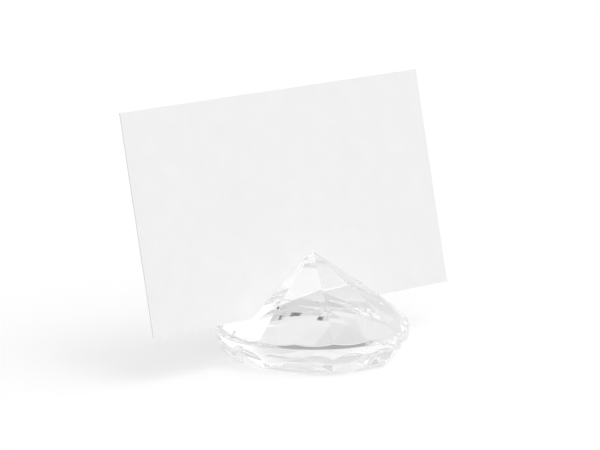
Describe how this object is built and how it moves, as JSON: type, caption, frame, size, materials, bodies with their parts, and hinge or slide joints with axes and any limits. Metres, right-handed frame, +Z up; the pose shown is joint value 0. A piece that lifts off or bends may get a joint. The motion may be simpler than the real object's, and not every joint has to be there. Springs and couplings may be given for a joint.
{
  "type": "place card holder",
  "caption": "Clear faceted stone lying on its table with the point up, with a slot behind the point that holds a blank place card leaning back.",
  "frame": {"origin": "centre of the table, the flat face that the stone rests on", "axes": "+Z up towards the point, +X along the slot and the card's width, -Y towards the side of the card that is read"},
  "size_m": [0.0889, 0.045, 0.0609],
  "materials": {
    "clear_acrylic": "clear, moulded and polished, colourless",
    "card_stock": "uncoated white card, matte, blank on both sides"
  },
  "bodies": {
    "holder": {"diamond_base": "clear_acrylic"},
    "card": {"place_card": "card_stock"}
  },
  "joints": [
    {"name": "card_lift", "type": "slide", "parent": "holder", "child": "card", "axis": [0, 0.226, 0.9741], "range_m": [0, 0.02]}
  ]
}
